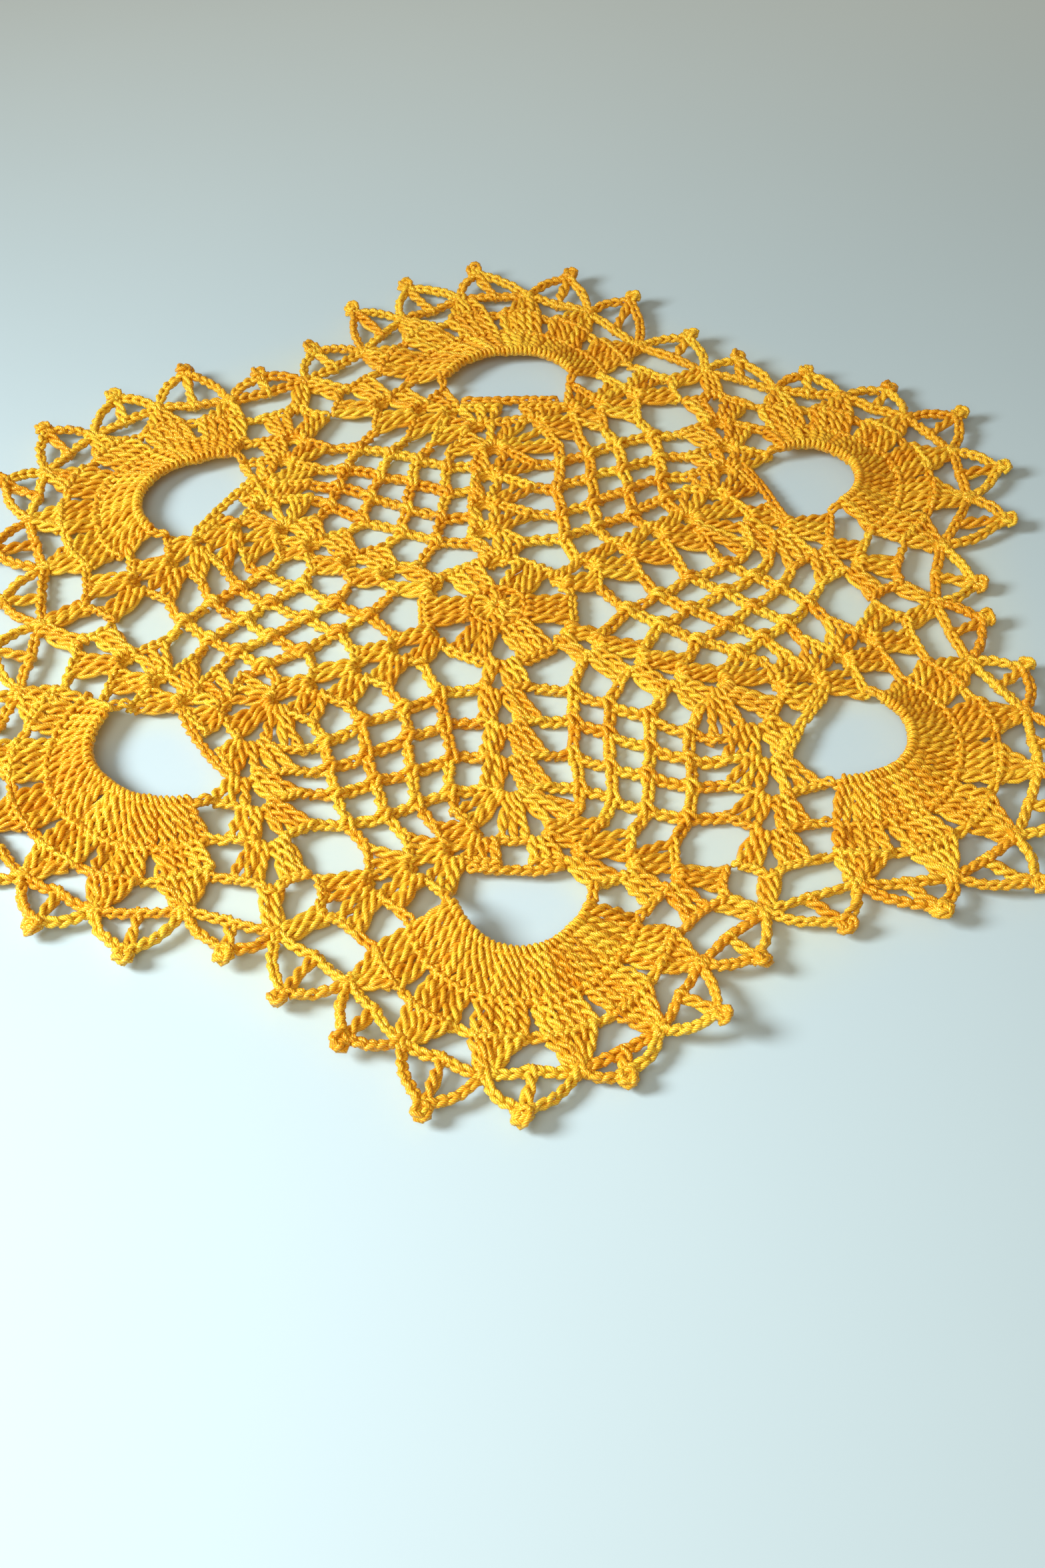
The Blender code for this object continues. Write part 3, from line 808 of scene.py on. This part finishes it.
def fanLoops(k):
    # the diamond mesh between two spokes: each loop hangs from the one before it
    look = loopMesh
    for names in (names for row in look["rounds"] for names in row):
        p = [fanPoint(name, fanAxis(k)) for name in names]
        if len(p) == 3:
            line = arch(p[0], p[1] - unit(p[1]) * look["apexIn"], p[2])
        else:
            beside = unit(np.array([p[1][1] - p[0][1], p[0][0] - p[1][0]]))
            line = [p[0], (p[0] + p[1]) / 2 + beside * eitherWay(look["slack"]), p[1]]
        loops.append(chain(line, roll=eitherWay(look["roll"]), lift=look["lift"],
                           wide=look["wide"]))
    for name in look["knots"]:
        at = fanPoint(name, fanAxis(k))
        loops.append(knot(at + unit(at) * look["knotOut"], at))


edging = {
    "radius": 0.48, "flat": (0.1945, 0.2090), "area": 0.0154,
    # the seven points of a scallop: angle and radius about its centre
    "angles": (-69.5, -49.0, -22.0, 0.0, 22.0, 49.0, 69.5),
    "radii": (41.7, 38.1, 38.1, 38.5, 38.1, 38.1, 41.7),
    # how each point lies, by scallop: clockwise lean and reach, worked out by a program
    "lean": ((0.0, 1.0, -3.3, -3.6, 1.5, -2.6, -1.9), (0.2, -0.6, 0.8, 3.4, 4.2, 0.4, 0.6),
             (-1.4, -1.0, -3.5, -0.8, 1.6, -1.2, 0.5), (-0.2, -1.2, -0.8, 1.7, 1.2, 0.3, -1.1),
             (-1.2, -3.4, 0.9, -1.1, -0.2, -2.3, -3.4), (-2.0, -2.3, -2.2, -1.3, 1.8, -1.6, 0.4)),
    "reach": ((-0.2, 2.5, 1.8, 0.0, 0.9, 1.8, -0.2), (-0.5, 0.6, -0.4, 0.7, -0.1, 1.8, -2.7),
              (-0.7, 0.8, -0.6, 0.4, -0.5, 0.6, -0.3), (0.2, 0.6, -3.4, -0.8, 1.2, -0.7, 0.5),
              (1.0, 0.0, 0.7, -0.4, 1.1, -0.6, -1.4), (0.0, -1.6, -1.5, 0.4, 0.4, 1.6, 0.8)),
    "sag": (-0.3, 0.5),  # how far the chain between two feet hangs, with the bulge beside it
    "chordBulge": 0.3,
    "bulge": 1.1,  # how far the two outer chains bow, with the shares of it on their way
    "bow": ((0.3, 0.8), (0.6, 1.0)),
    "postFoot": 0.2, "postHead": 1.0, "postSpread": 1.15,
    "root": 0.7,  # where the picot starts, in from its tip
    "picotRadius": 0.92, "picotWide": 1.05, "picotOut": 0.35, "picotUp": 0.45, "tilt": 0.6,
    "lifted": (0.1, 1.6), "liftReach": (6.0, 9.0),
    "footKnotOut": 0.3, "footKnotSize": 0.85,
}


def edgePoints(k):
    # the feet and the picot of each point of one scallop
    valleys = [fanPoint("valley", fanAxis(k + 2)), fanPoint("valley", fanAxis(k + 1))]
    feet = [valleys[0]] + petalFeet(k) + [valleys[1]]
    for n, (angle, radius) in enumerate(zip(edging["angles"], edging["radii"])):
        reach = radius + edging["reach"][k][n]
        lean = math.degrees(edging["lean"][k][n] / radius)
        yield feet[n], feet[n + 1], roundScallop(angle + lean, reach, k)


def between(a, b, share, bulge):
    way = unit(b - a)
    return a + (b - a) * share + np.array([-way[1], way[0]]) * bulge


def edgePoint(foot, nextFoot, picot):
    # one point of the edging: chord, post, two outer chains and the picot knob
    look = edging
    out = unit(picot - (foot + nextFoot) / 2)
    across = np.array([-out[1], out[0]])
    sag = between(foot, nextFoot, 0.5, rng.uniform(*look["sag"]))
    edges.append(chain([foot, between(foot, nextFoot, 0.25, look["chordBulge"]), sag,
                        between(foot, nextFoot, 0.75, look["chordBulge"]), nextFoot]))
    edges.extend(posts([sag - out * look["postFoot"]], [picot - out * look["postHead"]],
                       spread=look["postSpread"]))
    root = picot - out * look["root"]
    for a, b in ((foot, root), (root, nextFoot)):
        bow = [between(a, b, share, look["bulge"] * part) for share, part in look["bow"]]
        edges.append(chain([a, *bow, b], lift=0.15))
    knob = picot + out * look["picotOut"]
    tilt = rng.uniform(-look["tilt"], look["tilt"], 2)
    ring = []
    for a in np.radians(np.arange(-110, 251, 45)):
        x, y = look["picotRadius"] * math.cos(a), look["picotRadius"] * math.sin(a)
        ring.append([*(knob + across * x * look["picotWide"] + out * y),
                     plan["height"] + look["picotUp"] + tilt[0] * x + tilt[1] * y])
    edges.append(chain(ring, roll=rng.uniform(20, 60), count=4))
    edges.append(knot(knob - out * 0.15, across * eitherWay(0.5) - out, 0.95))
    edges.append(knot(root + out * 0.1, out, 0.8))
    lie["raised"].append((*settle(picot[None])[0], rng.uniform(*look["lifted"]),
                          rng.uniform(*look["liftReach"])))


def footKnots(k):
    # the knots where the edging's chains meet the petals and the valleys
    for foot in petalFeet(k) + [fanPoint("valley", fanAxis(k))]:
        edges.append(knot(foot + unit(foot) * edging["footKnotOut"], foot,
                          edging["footKnotSize"]))


heartAndArms()
for k in range(plan["repeats"]):
    spokeShells(k)
    branchShells(k)
    eyeRim(k)
    petalRows(k)
    fanLoops(k)
    for places in edgePoints(k):
        edgePoint(*places)
for k in range(plan["repeats"]):
    footKnots(k)
print("stitches laid out")


def addNode(tree, kind, **values):
    node = tree.nodes.new(kind)
    for key, value in values.items():
        setattr(node, key, value)
    return node


def feed(tree, socket, value):
    # a value goes on the socket itself, another node's output is linked to it
    if isinstance(value, bpy.types.NodeSocket):
        tree.links.new(value, socket)
    else:
        socket.default_value = value


def sums(tree, operation, *values):
    node = addNode(tree, "ShaderNodeMath", operation=operation)
    for socket, value in zip(node.inputs, values):
        feed(tree, socket, value)
    return node.outputs[0]


def mixColour(tree, share, low, high, blend="MIX"):
    node = addNode(tree, "ShaderNodeMix", data_type="RGBA", blend_type=blend)
    for socket, value in ((0, share), (6, low), (7, high)):  # 6 and 7 are its colours
        feed(tree, node.inputs[socket], value)
    return node.outputs[2]


def noise(tree, where, scale, detail):
    node = addNode(tree, "ShaderNodeTexNoise", noise_dimensions="3D")
    for socket, value in (("Vector", where), ("Scale", scale), ("Detail", detail)):
        feed(tree, node.inputs[socket], value)
    return node.outputs["Fac"]


def softStep(tree, value, low, high):
    # 0 up to the low value, 1 from the high one
    node = addNode(tree, "ShaderNodeMapRange", interpolation_type="SMOOTHSTEP")
    for socket, given in (("Value", value), ("From Min", low), ("From Max", high)):
        feed(tree, node.inputs[socket], given)
    return node.outputs[0]


def newMaterial(name):
    material = bpy.data.materials.new(name)
    material.use_nodes = True
    tree = material.node_tree
    return material, tree, tree.nodes["Principled BSDF"]


cotton = {
    "ridge": (0.64, 0.305, 0.003, 1), "ridgePale": (0.98, 0.88, 0.07, 1),
    # the colour of the hollows between the plies is painted shade, deep orange as painted light
    # bounced between them
    "paintedGrooveShade": (0.66, 0.105, 0.001, 1),
    "byStrand": 0.6, "byPatch": 0.4, "patchScale": 60.0,  # what makes a ridge paler
    "plyShape": 0.65, "plyDepth": 0.70, "plyLow": -0.02,
    "fibreTurns": 7.0, "fibreAlong": 1.1, "fibreDetail": 2.0,  # fine streaks along the plies
    "fibreTone": 0.5, "fibreHeight": 0.25, "fibreRough": 0.2,
    "roughness": 0.30, "bump": 0.5, "bumpDistance": 0.00013,
    "glow": 0.2, "glowReach": (1.0, 0.75, 0.22), "glowScale": 0.0005,
    "gloss": 1.0, "glossTint": (1.0, 0.91, 0.31, 1),
    "sheen": 0.03, "sheenRough": 0.4, "sheenTint": (1.0, 0.85, 0.4, 1),
    "paintedGlow": (1.0, 0.23, 0.0, 1), "paintedGlowStrength": 0.055,  # painted glow: the yarn glows orange of itself, standing in for light scattered in it and bounced into its shaded gaps
}


def goldenCottonWithPaintedLight(name):
    look = cotton
    material, tree, shader = newMaterial(name)
    parts = addNode(tree, "ShaderNodeSeparateXYZ")
    tree.links.new(addNode(tree, "ShaderNodeUVMap", uv_map="yarn").outputs[0], parts.inputs[0])
    along, around = parts.outputs[0], parts.outputs[1]
    # plies: ribs that wind round the yarn, climbing to the left
    turns = sums(tree, "ADD", sums(tree, "MULTIPLY", along, 1 / yarnMake["twistPitch"]),
                 sums(tree, "MULTIPLY", around, -yarnMake["plies"]))
    wave = sums(tree, "SINE", sums(tree, "MULTIPLY", turns, 2 * math.pi))
    rib = sums(tree, "POWER", sums(tree, "MULTIPLY_ADD", wave, 0.5, 0.5), look["plyShape"])
    # fibres: fine streaks that run with the plies
    streaks = addNode(tree, "ShaderNodeCombineXYZ")
    feed(tree, streaks.inputs[0], sums(tree, "MULTIPLY", turns, look["fibreTurns"]))
    feed(tree, streaks.inputs[1], sums(tree, "MULTIPLY", along, look["fibreAlong"]))
    fibre = noise(tree, streaks.outputs[0], 1.0, look["fibreDetail"])
    tone = addNode(tree, "ShaderNodeAttribute", attribute_name="tone")
    where = addNode(tree, "ShaderNodeTexCoord")
    patch = noise(tree, where.outputs["Object"], look["patchScale"], 2.0)
    pale = sums(tree, "MULTIPLY_ADD", tone.outputs["Fac"], look["byStrand"],
                sums(tree, "MULTIPLY", patch, look["byPatch"]))
    ridge = mixColour(tree, pale, look["ridge"], look["ridgePale"])
    # painted shade: the colour falls from the ridge colour into the hollows between the plies, with
    # fine fibre streaks
    depth = sums(tree, "MULTIPLY_ADD", fibre, look["fibreTone"],
                 sums(tree, "MULTIPLY_ADD", rib, look["plyDepth"], look["plyLow"]))
    depth = sums(tree, "MINIMUM", sums(tree, "MAXIMUM", depth, 0.0), 1.0)
    feed(tree, shader.inputs["Base Color"], mixColour(tree, depth, look["paintedGrooveShade"], ridge))
    bump = addNode(tree, "ShaderNodeBump")
    bump.inputs["Strength"].default_value = look["bump"]
    bump.inputs["Distance"].default_value = look["bumpDistance"]
    feed(tree, bump.inputs["Height"], sums(tree, "MULTIPLY_ADD", fibre, look["fibreHeight"], rib))
    feed(tree, shader.inputs["Normal"], bump.outputs[0])
    feed(tree, shader.inputs["Roughness"],
         sums(tree, "MULTIPLY_ADD", fibre, look["fibreRough"],
              look["roughness"] - look["fibreRough"] / 2))
    for socket, key in (
        ("Subsurface Weight", "glow"), ("Subsurface Radius", "glowReach"),
        ("Subsurface Scale", "glowScale"), ("Emission Color", "paintedGlow"),
        ("Emission Strength", "paintedGlowStrength"), ("Specular IOR Level", "gloss"),
        ("Specular Tint", "glossTint"), ("Sheen Weight", "sheen"),
        ("Sheen Roughness", "sheenRough"), ("Sheen Tint", "sheenTint"),
    ):
        shader.inputs[socket].default_value = look[key]
    return material


yarnColourAndPaintedLight = goldenCottonWithPaintedLight("goldenCottonWithPaintedLight")
for name, look, strands in (
    ("spokeStitches", spokeStitches, spokes),
    ("branchStitches", branchStitches, branches),
    ("scallopRims", scallopRims, rims),
    ("petalStitches", petalStitches, petals),
    ("loopMesh", loopMesh, loops),
    ("edging", edging, edges),
):
    piece, yarnLength = yarnMesh(name, strands, look["radius"])
    piece.data.materials.append(yarnColourAndPaintedLight)
    piece.data.uv_layers.active = piece.data.uv_layers["yarn"]
    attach(piece, "root")
    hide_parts("doily")
    half = yarnLength * math.pi * look["radius"] / 1e6
    print(f"  half of its surface: {half:.5f} square metres")


# the stage, in metres
table = {
    "size": 4.0,
    "near": (0.48, 0.61, 0.67, 1), "far": (0.74, 0.86, 0.88, 1),
    "nearPaintTo": 0.06, "farPaintFrom": 0.31,  # the near colour up to the first, the far one from the second; the far one is painted lighter, painted light against the lamps' fall-off towards the back
    "mottle": 0.16, "mottleScale": 9.0, "mottleDetail": 8.0,
    "roughness": 0.5,
    # painted light: the table under the lace is tinted cream and glows orange, standing in for light
    # that the yarn lets pass and bounces down;
    # all of it up to the first radius, none beyond the second
    "paintedBounce": (1.0, 0.55, 0.03, 1), "paintedBounceStrength": 0.05, "paintedBouncePaint": (1.0, 0.985, 0.91, 1),
    "paintedBounceFull": 0.080, "paintedBounceNone": 0.098,
    "eyeMiddle": 68.0, "eyeClear": (0.0065, 0.0135),  # millimetres out, then metres round it
}
lamps = {
    "window": {"at": (-0.42, -0.10, 0.33), "aim": (-0.04, -0.09, 0), "size": 0.20,
               "power": 1.28, "colour": (0.94, 0.985, 1.0), "spread": 100},
    "nearFill": {"at": (-0.11, -0.34, 0.41), "aim": (-0.02, -0.10, 0), "size": 0.35,
                 "power": 0.40, "colour": (1.0, 0.95, 0.86), "spread": 100},
}
room = {"colour": (1.0, 0.82, 0.60, 1), "strength": 0.27}
camera = {
    "sensor": 36, "lens": 45.35, "nearest": 0.01,
    # its place in millimetres, its directions and its lens were worked out by a program
    "eye": (-2.4, -250.8, 247.4),
    "look": (0.01248, 0.65268, -0.75753), "up": (0.03099, 0.75698, 0.65270),
}


def paintedBounceShare(tree, spot):
    # where the painted light under the lace goes: 1 on the table under the lace, 0 beyond it and in
    # the middles of the six eyes
    def reachFrom(x, y, low, high):
        gap = addNode(tree, "ShaderNodeVectorMath", operation="DISTANCE")
        feed(tree, gap.inputs[0], spot)
        feed(tree, gap.inputs[1], (x, y, 0))
        return softStep(tree, gap.outputs["Value"], low, high)

    share = sums(tree, "SUBTRACT", 1.0, reachFrom(0, 0, table["paintedBounceFull"], table["paintedBounceNone"]))
    for k in range(plan["repeats"]):
        x, y = settle(place(0, table["eyeMiddle"], scallopAxis(k))[None])[0] * mm
        share = sums(tree, "MULTIPLY", share, reachFrom(x, y, *table["eyeClear"]))
    return share


def palePaintWithPaintedLight():
    material, tree, shader = newMaterial("palePaintWithPaintedLight")
    spot = addNode(tree, "ShaderNodeTexCoord").outputs["Object"]
    parts = addNode(tree, "ShaderNodeSeparateXYZ")
    feed(tree, parts.inputs[0], spot)
    # one colour at the front of the table, the other at the back, a little mottled between; the back
    # is painted lighter to make up for the lamps' light falling off, painted light
    mottle = noise(tree, spot, table["mottleScale"], table["mottleDetail"])
    depth = softStep(tree, parts.outputs[1], table["nearPaintTo"], table["farPaintFrom"])
    blend = sums(tree, "ADD", depth, sums(tree, "MULTIPLY_ADD", mottle, table["mottle"],
                                          -table["mottle"] / 2))
    paint = mixColour(tree, blend, table["near"], table["far"])
    # painted light under the lace: a cream tint on the table's colour and an orange glow
    paintedBounce = paintedBounceShare(tree, spot)
    feed(tree, shader.inputs["Base Color"],
         mixColour(tree, paintedBounce, paint, table["paintedBouncePaint"], "MULTIPLY"))
    shader.inputs["Emission Color"].default_value = table["paintedBounce"]
    feed(tree, shader.inputs["Emission Strength"],
         sums(tree, "MULTIPLY", paintedBounce, table["paintedBounceStrength"]))
    shader.inputs["Roughness"].default_value = table["roughness"]
    return material


def addTable():
    data = bpy.data.meshes.new("table")
    size = table["size"]
    corners = [(-size, -size, 0), (size, -size, 0), (size, size, 0), (-size, size, 0)]
    data.from_pydata(corners, [], [(0, 1, 2, 3)])
    data.materials.append(palePaintWithPaintedLight())
    floor = bpy.data.objects.new("table", data)
    bpy.context.scene.collection.objects.link(floor)


def addLamp(name, look):
    light = bpy.data.lights.new(name, "AREA")
    light.shape = "DISK"
    light.size = look["size"]
    light.energy = look["power"]
    light.color = look["colour"]
    light.spread = math.radians(look["spread"])
    lamp = bpy.data.objects.new(name, light)
    lamp.location = look["at"]
    aim = Vector(look["aim"]) - Vector(look["at"])
    lamp.rotation_euler = aim.to_track_quat("-Z", "Y").to_euler()
    bpy.context.scene.collection.objects.link(lamp)


def addCamera():
    data = bpy.data.cameras.new("camera")
    data.sensor_fit = "VERTICAL"
    data.sensor_height = camera["sensor"]
    data.lens = camera["lens"]
    data.clip_start = camera["nearest"]
    cam = bpy.data.objects.new("camera", data)
    bpy.context.scene.collection.objects.link(cam)
    look, up = Vector(camera["look"]).normalized(), Vector(camera["up"]).normalized()
    right = look.cross(up).normalized()
    up = right.cross(look).normalized()
    turn = Matrix((right, up, -look)).transposed().to_4x4()
    cam.matrix_world = Matrix.Translation(Vector(camera["eye"]) * mm) @ turn
    bpy.context.scene.camera = cam


addTable()
for name, look in lamps.items():
    addLamp(name, look)
world = bpy.data.worlds.new("studio")
bpy.context.scene.world = world
world.use_nodes = True
background = world.node_tree.nodes["Background"]
background.inputs[0].default_value = room["colour"]
background.inputs[1].default_value = room["strength"]
addCamera()
bpy.context.scene.view_settings.view_transform = "Standard"
print("studio set")
